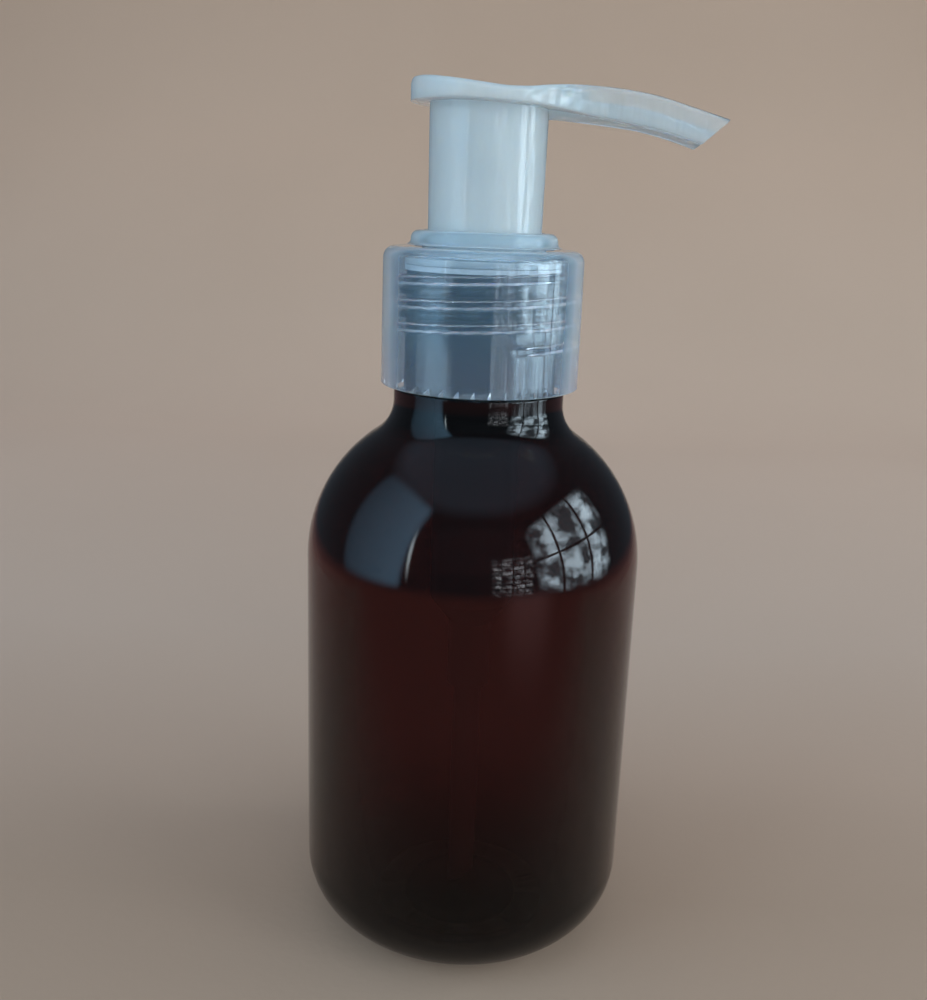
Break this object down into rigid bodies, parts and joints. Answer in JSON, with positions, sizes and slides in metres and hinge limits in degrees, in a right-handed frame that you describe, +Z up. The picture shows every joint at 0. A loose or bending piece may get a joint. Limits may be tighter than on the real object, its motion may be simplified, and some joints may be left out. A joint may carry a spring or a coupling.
{
  "type": "pump oil bottle",
  "caption": "Round dark amber plastic bottle with a translucent screw-on lotion pump: smooth closure, collar, press head with a drooping spout, spring, piston and dip tube.",
  "frame": {"origin": "centre of the bottle's base, on the plane the bottle stands on", "axes": "+Z up along the bottle's axis, +X along the spout at rest, +Y to the left when looking along the spout"},
  "size_m": [0.0665, 0.0574, 0.1465],
  "materials": {
    "amber": "glossy dark amber, slightly see-through",
    "natural": "natural translucent polypropylene, satin",
    "white": "plain moulded white",
    "foam": "soft white seal",
    "steel": "drawn spring wire and polished ball"
  },
  "bodies": {
    "bottle": {"bottle": "amber"},
    "pump": {"housing": "natural", "collar": "natural", "gasket": "foam", "dip_tube": "natural", "ball_retainer": "white", "spring": "steel"},
    "closure": {"closure": "natural"},
    "stem": {"stem": "white", "piston_seat": "white"},
    "head": {"head": "natural"},
    "piston": {"piston": "white"},
    "inlet_ball": {"inlet_ball": "steel"}
  },
  "joints": [
    {"name": "pump_lift", "type": "slide", "parent": "bottle", "child": "pump", "axis": [0, 0, 1], "range_m": [0, 0.00726]},
    {"name": "closure_turn", "type": "hinge", "parent": "pump", "child": "closure", "pos_m": [0, 0, 0.11], "axis": [0, 0, 1], "range_deg": [0, 720]},
    {"name": "head_press", "type": "slide", "parent": "pump", "child": "stem", "axis": [0, 0, -1], "range_m": [0, 0.017], "stiffness_N_per_m": 600, "springref_m": -0.012, "deforming": ["spring"]},
    {"name": "head_turn", "type": "hinge", "parent": "stem", "child": "head", "pos_m": [0, 0, 0.13], "axis": [0, 0, 1], "continuous": true},
    {"name": "piston_slip", "type": "slide", "parent": "stem", "child": "piston", "axis": [0, 0, 1], "range_m": [0, 0.0012]},
    {"name": "ball_lift", "type": "slide", "parent": "pump", "child": "inlet_ball", "axis": [0, 0, 1], "range_m": [0, 0.0013]}
  ],
  "couplings": [
    {"joint": "pump_lift", "follows": "closure_turn", "m_per_rad": 0.00057773}
  ]
}
